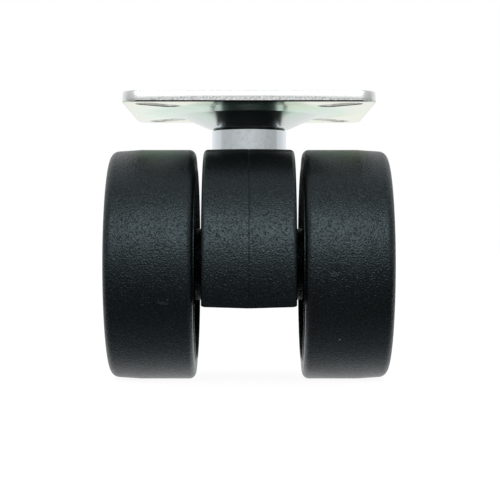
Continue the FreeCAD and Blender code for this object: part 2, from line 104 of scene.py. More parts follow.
# The housing's drum. The crown's lift fades forwards over a length, and round the back by a power.
DRUM_RADIUS = 24.95
DRUM_HALF_WIDTH = 9.85
DRUM_EDGE = 0.9
DRUM_FLOOR_DROP = 8.85
DRUM_FLOOR_RISE = 0.3
FLOOR_EDGE_SHARE = 0.4
CROWN_LIFT = 0.07
CROWN_BARREL = 0.19
CROWN_FADE = 5.0
CROWN_POWER = 8
STEM_CORNER = 3.0
PARTING_WIDTH = 0.24
PARTING_DEPTH = 0.09
PARTING_LIP = 0.012
PARTING_CREST_SHARE = 0.62
PARTING_BED_SHARE = 0.2

# The housing's cored cells, axle bosses and socket. The reaches and overruns let the cutting
# tools stand clear of the moulding.
CELL_INNER = 9.0
CELL_OUTER = 22.05
CELL_COUNT = 5
CELL_FIRST = 69.0
CELL_ANGLE = 16.5
CELL_STEP = 24.0
CELL_REACH = 12
WEB_HALF = 1.2
BOSS_RADIUS = 7.8
BOSS_FACE = 11.9
BOSS_ROUND = 0.3
AXLE_RADIUS = 3.5
BORE_REACH = 15
SOCKET_RADIUS = 5.05
SOCKET_DEPTH = 22.0
SOCKET_CHAMFER = 0.4
CHAMFER_OVERRUN = 0.2
ACCESS_RADIUS = 7.2
ACCESS_FLARE = 0.4
FLARE_FOOT = 0.15
FLARE_TOP = 0.75
TOOL_OVERRUN = 1

# The wheels. Faces are distances along the axle from the caster's middle.
WHEEL_RADIUS = 25.0
RIM_FACE = 11.6
LIP_FACE = 11.35
LIP_EDGE = 21.2
MOUTH_RADIUS = 20.7
ROOT_RADIUS = 20.3
HUB_FACE = 12.0
HUB_RADIUS = 6.2
HUB_BORE = 3.55
HUB_FLOOR = 23.3
HUB_SEAT = 25.5
POCKET_RADIUS = 8.55
POCKET_OUTER = 10.55
OUTER_FACE = 30.0
FACE_DISH = 29.1
FACE_FLAT = 19.5
DISC_THICKNESS = 2.4
SHOULDER_RADIUS = 24.56
TAPER_START = 23.5
TAPER_BLEND = 6.0
TREAD_INNER_ROUND = 1.4
TREAD_OUTER_ROUND = 1.8
RIB_FRONT = 24.0
RIB_THICKNESS = 1.6
RIB_COUNT = 8
RIB_SUNK = 0.4
RIB_ROUND = 0.35

# The hub caps, with a small gate mark in the middle
CAP_RADIUS = 8.5
CAP_INNER = 7.2
CAP_CROWN = 29.3
CAP_DOME = 29.7
CAP_DOME_ROUND = 6.0
CAP_ROOF = 27.9
GATE_RADIUS = 0.9
GATE_FLOOR_RADIUS = 0.8
GATE_DEPTH = 0.12

axle_low, axle_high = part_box("axle")
AXLE = (axle_low + axle_high) / 2
PLATE_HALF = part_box("top_plate")[1].x / MM
HOUSING_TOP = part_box("thrust_washer")[0].z / MM
PIN_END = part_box("swivel_pin")[0].z / MM
FLOOR_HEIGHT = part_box("wheel_left")[0].z

SMOOTH_ANGLE = math.radians(32)
MERGE_DISTANCE = 1e-7
LEVEL_TOLERANCE = 1e-6


# Meshes

def scene_object(name, data):
    made = bpy.data.objects.new(name, data)
    bpy.context.scene.collection.objects.link(made)
    return made


def evaluated_mesh(piece, name):
    """The piece's mesh with its modifiers applied, as plain mesh data."""
    ready = piece.evaluated_get(bpy.context.evaluated_depsgraph_get())
    mesh = bpy.data.meshes.new_from_object(ready)
    mesh.name = name
    return mesh


def drop(piece):
    """Removes a working object together with its curve or mesh."""
    data = piece.data
    bpy.data.objects.remove(piece)
    store = bpy.data.curves if isinstance(data, bpy.types.Curve) else bpy.data.meshes
    store.remove(data)


def smoothed(mesh, name):
    """The mesh shaded smooth between its sharp edges, its large faces kept true."""
    mesh.shade_smooth()
    mesh.set_sharp_from_angle(angle=SMOOTH_ANGLE)
    piece = scene_object(name, mesh)
    shading = piece.modifiers.new("shading", "WEIGHTED_NORMAL")
    shading.weight = 100
    shading.keep_sharp = True
    made = evaluated_mesh(piece, name)
    drop(piece)
    made.name = name
    return made


def face_outwards(shell):
    """Turns the faces of a closed shell outwards."""
    bmesh.ops.recalc_face_normals(shell, faces=shell.faces)
    if shell.calc_volume(signed=True) < 0:
        bmesh.ops.reverse_faces(shell, faces=shell.faces)


def shell_mesh(name, shell):
    """Closes a bmesh shell, turns its faces outwards and makes a mesh of it."""
    bmesh.ops.remove_doubles(shell, verts=shell.verts, dist=MERGE_DISTANCE)
    face_outwards(shell)
    mesh = bpy.data.meshes.new(name)
    shell.to_mesh(mesh)
    shell.free()
    return mesh


# Node trees

def add(tree, kind, **settings):
    node = tree.nodes.new(kind)
    for name, value in settings.items():
        setattr(node, name, value)
    return node


def link(tree, source, target):
    tree.links.new(source, target)


def new_tree(name, inputs):
    """A geometry tree with these named inputs after its geometry, and its two end nodes."""
    tree = bpy.data.node_groups.new(name, "GeometryNodeTree")
    tree.interface.new_socket("Geometry", in_out="INPUT", socket_type="NodeSocketGeometry")
    for label, kind in inputs.items():
        tree.interface.new_socket(label, in_out="INPUT", socket_type=f"NodeSocket{kind}")
    tree.interface.new_socket("Geometry", in_out="OUTPUT", socket_type="NodeSocketGeometry")
    return tree, add(tree, "NodeGroupInput").outputs, add(tree, "NodeGroupOutput").inputs


def grown(piece, tree, name, **values):
    """The plain mesh that a tree makes of a piece, with the tree's inputs set by their labels."""
    modifier = piece.modifiers.new(name, "NODES")
    modifier.node_group = tree
    for item in tree.interface.items_tree:
        key = item.name.lower().replace(" ", "_")
        if item.in_out == "INPUT" and key in values:
            modifier[item.identifier] = values[key]
    mesh = evaluated_mesh(piece, name)
    drop(piece)
    return mesh


def finish_tree(tree, source, finish, target):
    """Every tree ends in real geometry with its material set."""
    real = add(tree, "GeometryNodeRealizeInstances")
    link(tree, source, real.inputs["Geometry"])
    coat = add(tree, "GeometryNodeSetMaterial")
    link(tree, real.outputs["Geometry"], coat.inputs["Geometry"])
    link(tree, finish, coat.inputs["Material"])
    link(tree, coat.outputs["Geometry"], target)


def turning_tree():
    """Rounds the corners of a drawn section, then turns it about Z."""
    tree, given, made = new_tree("turned_section", {
        "Steps Round": "Int", "Corner Steps": "Int", "Turning Radius": "Float",
        "Finish": "Material",
    })
    rounds = add(tree, "GeometryNodeFilletCurve", mode="POLY")
    rounds.inputs["Limit Radius"].default_value = True
    link(tree, given["Geometry"], rounds.inputs["Curve"])
    link(tree, given["Corner Steps"], rounds.inputs["Count"])
    radius = add(tree, "GeometryNodeInputRadius")
    link(tree, radius.outputs["Radius"], rounds.inputs["Radius"])
    path = add(tree, "GeometryNodeCurvePrimitiveCircle")
    link(tree, given["Steps Round"], path.inputs["Resolution"])
    link(tree, given["Turning Radius"], path.inputs["Radius"])
    turn = add(tree, "GeometryNodeCurveToMesh")
    link(tree, path.outputs["Curve"], turn.inputs["Curve"])
    link(tree, rounds.outputs["Curve"], turn.inputs["Profile Curve"])
    closed = add(tree, "GeometryNodeMergeByDistance")
    closed.inputs["Distance"].default_value = MERGE_DISTANCE
    link(tree, turn.outputs["Mesh"], closed.inputs["Geometry"])
    finish_tree(tree, closed.outputs["Geometry"], given["Finish"], made["Geometry"])
    return tree


def ring_tree():
    """Sets copies of a shape evenly round Z."""
    tree, given, made = new_tree("spaced_round", {"Count": "Int", "Finish": "Material"})
    points = add(tree, "GeometryNodePoints")
    link(tree, given["Count"], points.inputs["Count"])
    share = add(tree, "ShaderNodeMath", operation="DIVIDE")
    link(tree, add(tree, "GeometryNodeInputIndex").outputs["Index"], share.inputs[0])
    link(tree, given["Count"], share.inputs[1])
    angle = add(tree, "ShaderNodeMath", operation="MULTIPLY")
    link(tree, share.outputs["Value"], angle.inputs[0])
    angle.inputs[1].default_value = 2 * math.pi
    turn = add(tree, "FunctionNodeAxisAngleToRotation")
    turn.inputs["Axis"].default_value = (0, 0, 1)
    link(tree, angle.outputs["Value"], turn.inputs["Angle"])
    copies = add(tree, "GeometryNodeInstanceOnPoints")
    link(tree, points.outputs["Points"], copies.inputs["Points"])
    link(tree, given["Geometry"], copies.inputs["Instance"])
    link(tree, turn.outputs["Rotation"], copies.inputs["Rotation"])
    finish_tree(tree, copies.outputs["Instances"], given["Finish"], made["Geometry"])
    return tree


TURNED = turning_tree()
SPACED = ring_tree()
TURNING_RADIUS = 10.0


def turned(name, corners, finish, steps=192, corner_steps=5):
    """A turned mesh about Z from corners of radius, height and corner round, in millimetres.

    The section is carried round a circle of the turning radius, where its Y points down.
    """
    curve = bpy.data.curves.new(name, "CURVE")
    curve.dimensions = "3D"
    outline = curve.splines.new("POLY")
    outline.points.add(len(corners) - 1)
    outline.use_cyclic_u = corners[0][0] > 0
    for point, (radius, height, rounding) in zip(outline.points, corners):
        point.co = ((radius - TURNING_RADIUS) * MM, -height * MM, 0, 1)
        point.radius = rounding * MM
    drawn = scene_object(name, curve)
    mesh = grown(drawn, TURNED, name, steps_round=steps, corner_steps=corner_steps,
                 turning_radius=TURNING_RADIUS * MM, finish=finish)
    shell = bmesh.new()
    shell.from_mesh(mesh)
    face_outwards(shell)
    shell.to_mesh(mesh)
    shell.free()
    return mesh


def spaced(name, mesh, count, finish):
    return grown(scene_object(name, mesh), SPACED, name, count=count, finish=finish)


def cut_or_join(name, mesh, tools):
    """Joins or cuts closed meshes, one after another: tools are pairs of operation and mesh."""
    piece = scene_object(name, mesh)
    helpers = []
    for operation, tool in tools:
        helper = scene_object(f"{name}_tool", tool)
        step = piece.modifiers.new(operation, "BOOLEAN")
        step.operation = operation
        step.solver = "EXACT"
        step.object = helper
        helpers.append(helper)
    made = evaluated_mesh(piece, name)
    for helper in helpers:
        drop(helper)
    drop(piece)
    return made


def prism(name, outline, low, high):
    """A straight prism along X of an outline in Y and Z, in millimetres."""
    shell = bmesh.new()
    ends = [[shell.verts.new((x * MM, y * MM, z * MM)) for y, z in outline] for x in (low, high)]
    count = len(outline)
    for index in range(count):
        follow = (index + 1) % count
        shell.faces.new((ends[0][index], ends[0][follow], ends[1][follow], ends[1][index]))
    for end in ends:
        shell.faces.new(end)
    return shell_mesh(name, shell)


def arc(centre, radius, start, stop, steps):
    """Points along an arc, angles in degrees, both ends included."""
    points = []
    for step in range(steps + 1):
        angle = math.radians(start + (stop - start) * step / steps)
        points.append((centre[0] + radius * math.cos(angle), centre[1] + radius * math.sin(angle)))
    return points


def axle_turn(hand):
    """Takes a mesh turned about Z to the axle, its top facing out on the left or right side."""
    outward = Matrix.Rotation(math.radians(90 if hand == "right" else -90), 4, "Y")
    return Matrix.Translation(AXLE) @ outward


# The pressed plate

def skin(shell, rings):
    """Walls between closed rings of corners; neighbouring rings have as many corners."""
    for upper, lower in zip(rings, rings[1:]):
        count = len(upper)
        for index in range(count):
            follow = (index + 1) % count
            shell.faces.new((upper[index], lower[index], lower[follow], upper[follow]))


def ring_edges(shell, ring):
    return [shell.edges.get((ring[index - 1], ring[index])) for index in range(len(ring))]


def rounded_square(half, corner, side_steps, corner_steps):
    """Points, and the directions out of them, round a square with rounded corners."""
    inner = half - corner
    loop = []
    for quarter in range(4):
        spin = Matrix.Rotation(math.radians(90 * quarter), 2)
        centre = Vector((inner, inner))
        for point in arc(centre, corner, 0, 90, corner_steps):
            loop.append((spin @ Vector(point), spin @ ((Vector(point) - centre) / corner)))
        for step in range(1, side_steps):
            place = inner - 2 * inner * step / side_steps
            loop.append((spin @ Vector((place, half)), spin @ Vector((0, 1))))
    return loop


def round_slot(middle, direction, reach, radius, steps):
    """Points, and the directions out of them, round a slot with round ends."""
    loop = []
    for end, first in ((1, -90), (-1, 90)):
        for step in range(steps + 1):
            outward = Matrix.Rotation(math.radians(first + 180 * step / steps), 2) @ direction
            loop.append((middle + direction * reach * end + outward * radius, outward))
    return loop


def wall(shell, loop, section):
    """A wall round a loop, from rows of inset and height."""
    rings = []
    for inset, height in section:
        rings.append([shell.verts.new((*((point - outward * inset) * MM), height * MM))
                      for point, outward in loop])
    skin(shell, rings)
    return rings


def sheared_edge():
    """Rows down the plate's edge: rolled over and burnished, torn, a worn arris below."""
    stretch = SHEAR_DEPTH / EDGE_ROLL
    roll = [(EDGE_ROLL - x, z * stretch - SHEAR_DEPTH)
            for x, z in arc((0, 0), EDGE_ROLL, 90, 0, steps=12)]
    torn = [(0, -SHEAR_DEPTH - TORN_STEP * row) for row in range(1, TORN_ROWS + 1)]
    arris = [(EDGE_ARRIS - x, z + EDGE_ARRIS - PLATE_THICKNESS)
             for x, z in arc((0, 0), EDGE_ARRIS, 0, -90, steps=6)]
    return roll, torn, arris


def slot_edge(torn):
    """Rows down a slot's wall: rolled over at the top, torn, rounded at the foot."""
    roll = [(x - SLOT_ROLL, z - SLOT_ROLL) for x, z in arc((0, 0), SLOT_ROLL, 90, 0, steps=5)]
    kept = [row for row in torn if row[1] > SLOT_FOOT - PLATE_THICKNESS]
    foot = [(x - SLOT_FOOT, z + SLOT_FOOT - PLATE_THICKNESS)
            for x, z in arc((0, 0), SLOT_FOOT, 0, -90, steps=5)]
    return roll, kept, foot


def deepen_corners(rings, loop):
    """Lowers the burnished band's foot towards the plate's corners, down to the arris at most."""
    foot = EDGE_ARRIS - PLATE_THICKNESS
    for ring in rings:
        for corner, (point, _) in zip(ring, loop):
            height = corner.co.z / MM
            share = min(-height / SHEAR_DEPTH, (height - foot) / (-SHEAR_DEPTH - foot))
            sag = SHEAR_SAG * min(abs(point.x), abs(point.y)) ** 2
            corner.co.z -= sag * max(0, share) * MM


def tear(rings, loop, seed):
    """Roughens the torn rows of a sheared edge."""
    draw = random.Random(seed)
    for index, (_, outward) in enumerate(loop):
        for ring in rings:
            ring[index].co.xy -= outward * draw.uniform(0.0, TORN_BITE) * MM


def rounded(corners, steps=8):
    """Points along an open line of corners, each with its own rounding."""
    points = [Vector(corners[0][:2])]
    for before, corner, after in zip(corners, corners[1:], corners[2:]):
        middle = Vector(corner[:2])
        inward = (Vector(before[:2]) - middle).normalized()
        outward = (Vector(after[:2]) - middle).normalized()
        half = inward.angle(outward) / 2
        bisector = (inward + outward).normalized()
        centre = middle + bisector * corner[2] / math.sin(half)
        reach = corner[2] / math.tan(half)
        first = (middle + inward * reach - centre).normalized()
        last = (middle + outward * reach - centre).normalized()
        for step in range(steps + 1):
            points.append(centre + first.slerp(last, step / steps) * corner[2])
    return points + [Vector(corners[-1][:2])]


def dish_section(offset):
    """Radius and height down the dish from its rim to its hole, this far above its underside."""
    level = offset - PLATE_THICKNESS
    inner_bend = FLOOR_BEND + PLATE_THICKNESS - offset
    return rounded([
        (DISH_RIM + DISH_MARGIN, level), (DISH_RIM, level, RIM_BEND + offset),
        (DISH_SHOULDER, level - SHOULDER_DROP, SHOULDER_BEND + offset),
        (DISH_FLOOR, level - DISH_DEPTH, inner_bend), (SPIGOT_HOLE, level - DISH_DEPTH),
    ])


def plate_mesh():
    """The plate as one closed shell: edge, slots, both sides of the dish, flat faces between."""
    shell = bmesh.new()
    outside = rounded_square(PLATE_HALF, PLATE_CORNER, side_steps=110, corner_steps=14)
    roll, torn, arris = sheared_edge()
    edge = wall(shell, outside, roll + torn + arris)
    deepen_corners(edge, outside)
    tear(edge[len(roll):len(roll) + len(torn)], outside, SHEAR_SEED)
    upper, lower = ring_edges(shell, edge[0]), ring_edges(shell, edge[-1])

    slot_roll, slot_torn, slot_foot = slot_edge(torn)
    for quarter in range(4):
        spin = Matrix.Rotation(math.radians(90 * quarter), 2)
        middle = spin @ Vector((SLOT_PLACE, SLOT_PLACE))
        direction = spin @ Vector((1, 1)).normalized()
        loop = round_slot(middle, direction, SLOT_LENGTH / 2 - SLOT_RADIUS, SLOT_RADIUS, steps=28)
        sides = wall(shell, loop, slot_roll + slot_torn + slot_foot)
        tear(sides[len(slot_roll):-len(slot_foot)], loop, SLOT_SEED + quarter)
        upper += ring_edges(shell, sides[0])
        lower += ring_edges(shell, sides[-1])

    last = 360 * (DISH_STEPS - 1) / DISH_STEPS
    spokes = [Vector(spoke) for spoke in arc((0, 0), 1, 0, last, steps=DISH_STEPS - 1)]
    faces = []
    for offset in (PLATE_THICKNESS, 0.0):
        rings = [[shell.verts.new((*(spoke * radius * MM), height * MM)) for spoke in spokes]
                 for radius, height in dish_section(offset)]
        skin(shell, rings)
        faces.append(rings)
    skin(shell, [faces[0][-1], faces[1][-1]])
    upper += ring_edges(shell, faces[0][0])
    lower += ring_edges(shell, faces[1][0])
    for rim in (upper, lower):
        bmesh.ops.triangle_fill(shell, edges=rim, use_beauty=True, use_dissolve=False)
    return shell_mesh("plate_pressing", shell)


# The swivel pin, riveted over in the dish

def pin_corners():
    """Radius, height and corner round down the pin: head, spigot, relief, collar, shank."""
    floor = -DISH_DEPTH
    head = floor + HEAD_HEIGHT
    neck = floor - PLATE_THICKNESS
    under = neck - COLLAR_HEIGHT
    spigot = SPIGOT_HOLE - SPIGOT_PLAY
    relief, shoulder = COLLAR_RADIUS - RELIEF_DEPTH, neck - RELIEF_HEIGHT
    crown = [(radius, head - depth, rounding) for radius, depth, rounding in RIVET_CROWN]
    return crown + [
        (HEAD_RADIUS, floor + HEAD_RIM, 0.35), (HEAD_RADIUS, floor, 0),
        (spigot, floor, 0), (spigot, neck, 0),
        (relief, neck, 0), (relief, shoulder, 0.05),
        (COLLAR_RADIUS, shoulder, 0.08), (COLLAR_RADIUS, under, 0.08),
        (PIN_RADIUS, under, 0), (PIN_RADIUS, PIN_END + PIN_POINT, 0.1),
        (PIN_RADIUS - PIN_POINT, PIN_END, 0.1), (0, PIN_END, 0),
    ]


# The housing: a drum with a flat floor, squared off in front over the pin's socket

def drum_outline(inset, floor, lift):
    """Points round the housing's side view, forwards and up from the axle.

    They are inset all round, and the crown is lifted.
    """
    floor_steps, front_steps, top_steps = 40, 8, 20
    radius = DRUM_RADIUS - inset
    inner = DRUM_RADIUS - STEM_CORNER
    turn = math.degrees(math.asin(-floor / radius))
    half_floor = radius * math.cos(math.radians(turn))
    crown = [Vector(point) * (1 + lift / radius * max(0, point[1] / radius) ** CROWN_POWER)
             for point in arc((0, 0), radius, 90, 180 + turn, steps=90)]
    level = [(half_floor * (2 * step / floor_steps - 1), floor) for step in range(1, floor_steps)]
    rise = arc((0, 0), radius, -turn, 0, steps=12)
    front = [(radius, inner * step / front_steps) for step in range(1, front_steps)]
    corner = arc((inner, inner), STEM_CORNER - inset, 0, 90, steps=12)
    ahead = [inner - inner * step / top_steps for step in range(1, top_steps)]
    top = [(place, radius + lift * max(0, 1 - place / CROWN_FADE) ** 2) for place in ahead]
    return crown + level + rise + front + corner + top


def drum_rows():
    """Distance along the axle and inset of each row of the drum's skin, from left to right."""
    edge = [(DRUM_HALF_WIDTH - DRUM_EDGE + x, DRUM_EDGE - z)
            for x, z in arc((0, 0), DRUM_EDGE, 0, 90, steps=7)]
    spread = [(DRUM_HALF_WIDTH * share, 0.0) for share in (0.8, 0.6, 0.4, 0.2)]
    groove = [(PARTING_WIDTH, 0.0), (PARTING_WIDTH * PARTING_CREST_SHARE, -PARTING_LIP),
              (PARTING_WIDTH / 2, 0.0), (PARTING_WIDTH * PARTING_BED_SHARE, PARTING_DEPTH)]
    right = edge + spread + groove
    return [(-place, inset) for place, inset in right] + list(reversed(right))


def drum_mesh():
    shell = bmesh.new()
    rings = []
    for place, inset in drum_rows():
        rise = DRUM_FLOOR_RISE * abs(place) / DRUM_HALF_WIDTH
        floor = rise - DRUM_FLOOR_DROP + inset * FLOOR_EDGE_SHARE
        lift = CROWN_LIFT + CROWN_BARREL * (1 - (place / DRUM_HALF_WIDTH) ** 2)
        rings.append([shell.verts.new((place * MM, ahead * MM, height * MM))
                      for ahead, height in drum_outline(inset, floor, lift)])
    skin(shell, rings)
    for ring in (rings[0], rings[-1]):
        bmesh.ops.triangle_fill(shell, edges=ring_edges(shell, ring),
                                use_beauty=True, use_dissolve=True)
    return shell_mesh("drum", shell)


def rod(name, corners):
    """A turned solid about Z from corners of radius and height, for cutting."""
    return turned(name, [(radius, height, 0) for radius, height in corners], None, steps=96)


def along_axle(mesh):
    mesh.transform(Matrix.Rotation(math.radians(90), 4, "Y"))
    return mesh


def at_pin(mesh):
    """Moves a tool drawn about the swivel axis to the drum, which is drawn about the axle."""
    mesh.transform(Matrix.Translation(-AXLE))
    return mesh


def housing_mesh():
    boss = along_axle(turned("boss", [
        (0, -BOSS_FACE, 0), (BOSS_RADIUS, -BOSS_FACE, BOSS_ROUND),
        (BOSS_RADIUS, BOSS_FACE, BOSS_ROUND), (0, BOSS_FACE, 0),
    ], None, steps=96))
    bore = along_axle(rod("bore", [
        (0, -BORE_REACH), (AXLE_RADIUS, -BORE_REACH), (AXLE_RADIUS, BORE_REACH), (0, BORE_REACH),
    ]))
    ledge = HOUSING_TOP - SOCKET_DEPTH
    over = HOUSING_TOP + CHAMFER_OVERRUN
    mouth = SOCKET_RADIUS + SOCKET_CHAMFER + CHAMFER_OVERRUN
    socket = at_pin(rod("socket", [
        (0, ledge - TOOL_OVERRUN), (SOCKET_RADIUS, ledge - TOOL_OVERRUN),
        (SOCKET_RADIUS, HOUSING_TOP - SOCKET_CHAMFER), (mouth, over), (0, over),
    ]))
    floor = AXLE.z / MM - DRUM_FLOOR_DROP
    flare = ACCESS_RADIUS + ACCESS_FLARE
    access = at_pin(rod("access", [
        (0, floor - TOOL_OVERRUN), (flare, floor - TOOL_OVERRUN), (flare, floor + FLARE_FOOT),
        (ACCESS_RADIUS, floor + FLARE_TOP), (ACCESS_RADIUS, ledge), (0, ledge),
    ]))
    tools = [("UNION", boss), ("DIFFERENCE", bore), ("DIFFERENCE", socket), ("DIFFERENCE", access)]
    for cell in range(CELL_COUNT):
        first = CELL_FIRST + CELL_STEP * cell
        outline = (arc((0, 0), CELL_INNER, first, first + CELL_ANGLE, steps=6)
                   + arc((0, 0), CELL_OUTER, first + CELL_ANGLE, first, steps=10))
        for low, high in ((-CELL_REACH, -WEB_HALF), (WEB_HALF, CELL_REACH)):
            tools.append(("DIFFERENCE", prism("cell", outline, low, high)))
    mesh = cut_or_join("housing_moulding", drum_mesh(), tools)
    mesh.transform(Matrix.Translation(AXLE))
    return mesh


# The wheels: one turned section, low ribs on the inside of the disc

def wheel_corners():
    """Radius, distance out along the axle and corner round of the wheel's section."""
    return [
        (HUB_BORE, HUB_FACE, 0.25), (HUB_RADIUS, HUB_FACE, 0.35), (HUB_RADIUS, HUB_FLOOR, 0.5),
        (POCKET_OUTER, HUB_FLOOR, 0.4), (POCKET_OUTER, FACE_DISH - DISC_THICKNESS, 0.6),
        (ROOT_RADIUS, OUTER_FACE - DISC_THICKNESS, 0.9), (MOUTH_RADIUS, LIP_FACE, 0.12),
        (LIP_EDGE, LIP_FACE, 0.06), (LIP_EDGE, RIM_FACE, 0.04),
        (WHEEL_RADIUS, RIM_FACE, TREAD_INNER_ROUND), (WHEEL_RADIUS, TAPER_START, TAPER_BLEND),
        (SHOULDER_RADIUS, OUTER_FACE, TREAD_OUTER_ROUND), (FACE_FLAT, OUTER_FACE, 3.0),
        (POCKET_OUTER, FACE_DISH, 0.5), (POCKET_RADIUS, FACE_DISH, 0.25),
        (POCKET_RADIUS, HUB_SEAT, 0.2), (HUB_BORE, HUB_SEAT, 0.25),
    ]


def rib_mesh():
    """One rib, sunk into the pocket's wall, the rim and the disc, its front edges rounded."""
    inner, outer = POCKET_OUTER - RIB_SUNK, MOUTH_RADIUS + RIB_SUNK / 2
    blade = prism("rib", [
        (inner, RIB_FRONT), (outer, RIB_FRONT), (outer, OUTER_FACE - DISC_THICKNESS + RIB_SUNK),
        (inner, FACE_DISH - DISC_THICKNESS + RIB_SUNK),
    ], -RIB_THICKNESS / 2, RIB_THICKNESS / 2)
    shell = bmesh.new()
    shell.from_mesh(blade)
    bpy.data.meshes.remove(blade)
    front = [edge for edge in shell.edges
             if all(abs(corner.co.z - RIB_FRONT * MM) < LEVEL_TOLERANCE for corner in edge.verts)]
    bmesh.ops.bevel(shell, geom=front, offset=RIB_ROUND * MM, segments=4, profile=0.5,
                    affect="EDGES")
    return shell_mesh("rib", shell)


def wheel_mesh(finish, hand):
    disc = turned("disc", wheel_corners(), finish, steps=288, corner_steps=7)
    ribs = spaced("ribs", rib_mesh(), RIB_COUNT, finish)
    mesh = cut_or_join("wheel", disc, [("UNION", ribs)])
    mesh.transform(axle_turn(hand))
    return mesh


def cap_mesh(finish, hand):
    gate_floor = CAP_DOME - GATE_DEPTH
    mesh = turned("cap", [
        (0, CAP_ROOF, 0), (CAP_INNER, CAP_ROOF, 0.8), (CAP_INNER, HUB_SEAT, 0.2),
        (CAP_RADIUS, HUB_SEAT, 0.3), (CAP_RADIUS, CAP_CROWN, 0.5),
        (CAP_RADIUS / 2, CAP_DOME, CAP_DOME_ROUND), (GATE_RADIUS, CAP_DOME, 0.1),
        (GATE_FLOOR_RADIUS, gate_floor, 0.1), (0, gate_floor, 0),
    ], finish, steps=144)
    mesh.transform(axle_turn(hand))
    return mesh


def place_piece(name, mesh, finish, node, body):
    """Stands a finished mesh in for a solid and lets it ride on that solid's body."""
    mesh = smoothed(mesh, name)
    mesh.materials.clear()
    mesh.materials.append(finish)
    mesh.polygons.foreach_set("material_index", [0] * len(mesh.polygons))
    piece = scene_object(name, mesh)
    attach(piece, body)
    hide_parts(node)


def build_pieces():
    place_piece("plate_pressing", plate_mesh(), zinc,
                "top_plate", "plate_body")
    place_piece("collared_pin", turned("pin", pin_corners(), collar_steel), collar_steel,
                "swivel_pin", "plate_body")
    place_piece("housing_moulding", housing_mesh(), nylon_body,
                "housing", "swivel_body")
    for hand in ("left", "right"):
        body = f"{hand}_wheel"
        place_piece(f"wheel_moulding_{hand}", wheel_mesh(nylon_wheels, hand), nylon_wheels,
                    f"wheel_{hand}", body)
        place_piece(f"hub_cap_moulding_{hand}", cap_mesh(nylon_wheels, hand), nylon_wheels,
                    f"hub_cap_{hand}", body)


# Steps that the materials share

def new_material(name):
    material = bpy.data.materials.new(name)
    material.use_nodes = True
    tree = material.node_tree
    return material, tree, tree.nodes["Principled BSDF"]


def object_coordinates(tree):
    return add(tree, "ShaderNodeTexCoord").outputs["Object"]


def axes(tree, vector):
    """The X, Y and Z of a vector."""
    node = add(tree, "ShaderNodeSeparateXYZ")
    link(tree, vector, node.inputs["Vector"])
    return node.outputs


def noise(tree, coordinates, seed, scale, detail=2.0, roughness=0.5):
    texture = add(tree, "ShaderNodeTexNoise", noise_dimensions="4D")
    texture.inputs["Scale"].default_value = scale
    texture.inputs["Detail"].default_value = detail
    texture.inputs["Roughness"].default_value = roughness
    texture.inputs["W"].default_value = seed
    link(tree, coordinates, texture.inputs["Vector"])
    return texture.outputs["Fac"]


def ramp(tree, value, stops):
    """A colour by a value, from stops of place and colour."""
    node = add(tree, "ShaderNodeValToRGB")
    elements = node.color_ramp.elements
    while len(elements) < len(stops):
        elements.new(1.0)
    for element, (place, colour) in zip(elements, stops):
        element.position = place
        element.color = (*colour, 1.0)
    link(tree, value, node.inputs["Fac"])
    return node.outputs["Color"]


def level_ramp(tree, value, stops):
    """A plain level by a value, from stops of place and level."""
    return ramp(tree, value, [(place, (level,) * 3) for place, level in stops])


def span(tree, value, given, wanted):
    """Carries a value from one range over to another and holds it at the ends."""
    node = add(tree, "ShaderNodeMapRange")
    names = ("From Min", "From Max", "To Min", "To Max")
    for name, number in zip(names, (*given, *wanted)):
        node.inputs[name].default_value = number
    link(tree, value, node.inputs["Value"])
    return node.outputs["Result"]


def bump(tree, height, strength, distance, normal=None):
    node = add(tree, "ShaderNodeBump")
    node.inputs["Strength"].default_value = strength
    node.inputs["Distance"].default_value = distance
    link(tree, height, node.inputs["Height"])
    if normal is not None:
        link(tree, normal, node.inputs["Normal"])
    return node.outputs["Normal"]


def math_node(tree, operation, *values):
    """A step of arithmetic on sockets and plain numbers."""
    node = add(tree, "ShaderNodeMath", operation=operation)
    for socket, value in zip(node.inputs, values):
        if isinstance(value, bpy.types.NodeSocket):
            link(tree, value, socket)
        else:
            socket.default_value = value
    return node.outputs["Value"]


def vector_node(tree, operation, source, values=None):
    """A step of vector arithmetic on a socket, with a plain second vector."""
    node = add(tree, "ShaderNodeVectorMath", operation=operation)
    link(tree, source, node.inputs[0])
    if values is not None:
        node.inputs[1].default_value = values
    return node.outputs["Value" if operation == "LENGTH" else "Vector"]


def all_of(tree, mask, *others):
    """1 where every mask is 1."""
    for other in others:
        mask = math_node(tree, "MULTIPLY", mask, other)
    return mask


def mixed(tree, share, first, second):
    node = add(tree, "ShaderNodeMix", data_type="RGBA")
    for name, source in (("Factor_Float", share), ("A_Color", first), ("B_Color", second)):
        link(tree, source, next(socket for socket in node.inputs if socket.identifier == name))
    return next(socket for socket in node.outputs if socket.identifier == "Result_Color")


def patch(tree, place, centre, reach):
    """1 inside a soft-edged patch, given by its middle and its reach in millimetres."""
    offset = vector_node(tree, "SUBTRACT", place, [number * MM for number in centre])
    scaled = vector_node(tree, "DIVIDE", offset, [number * MM for number in reach])
    return span(tree, vector_node(tree, "LENGTH", scaled), (0.55, 1.0), (1.0, 0.0))


# Black nylon. The crown's band, rougher and with painted shade, starts and is full this far under
# the crown, in millimetres.

NYLON_GRAIN = [(0.40, (0.0033, 0.0040, 0.0044)), (0.70, (0.0070, 0.0086, 0.0093))]
SCUFF_GRAIN = [(0.3, (0.3, 0.36, 0.38)), (0.7, (0.8, 0.95, 1.0))]
NYLON_REFLECTION = (0.70, 0.92, 1.0, 1.0)
NYLON_ROUGHNESS = (0.30, 0.38)
NYLON_GLOSS = (0.41, 0.67)
CROWN_BAND = (0.9, 0.1)
CROWN_ROUGHENING = 0.42
CROWN_PAINTED_SHADE = 0.12
# Gloss taken from the axle bosses past the drum's side as painted shade, and the margin past that
# side.
BOSS_PAINTED_SHADE = 0.45
BOSS_SHADE_MARGIN = 0.02


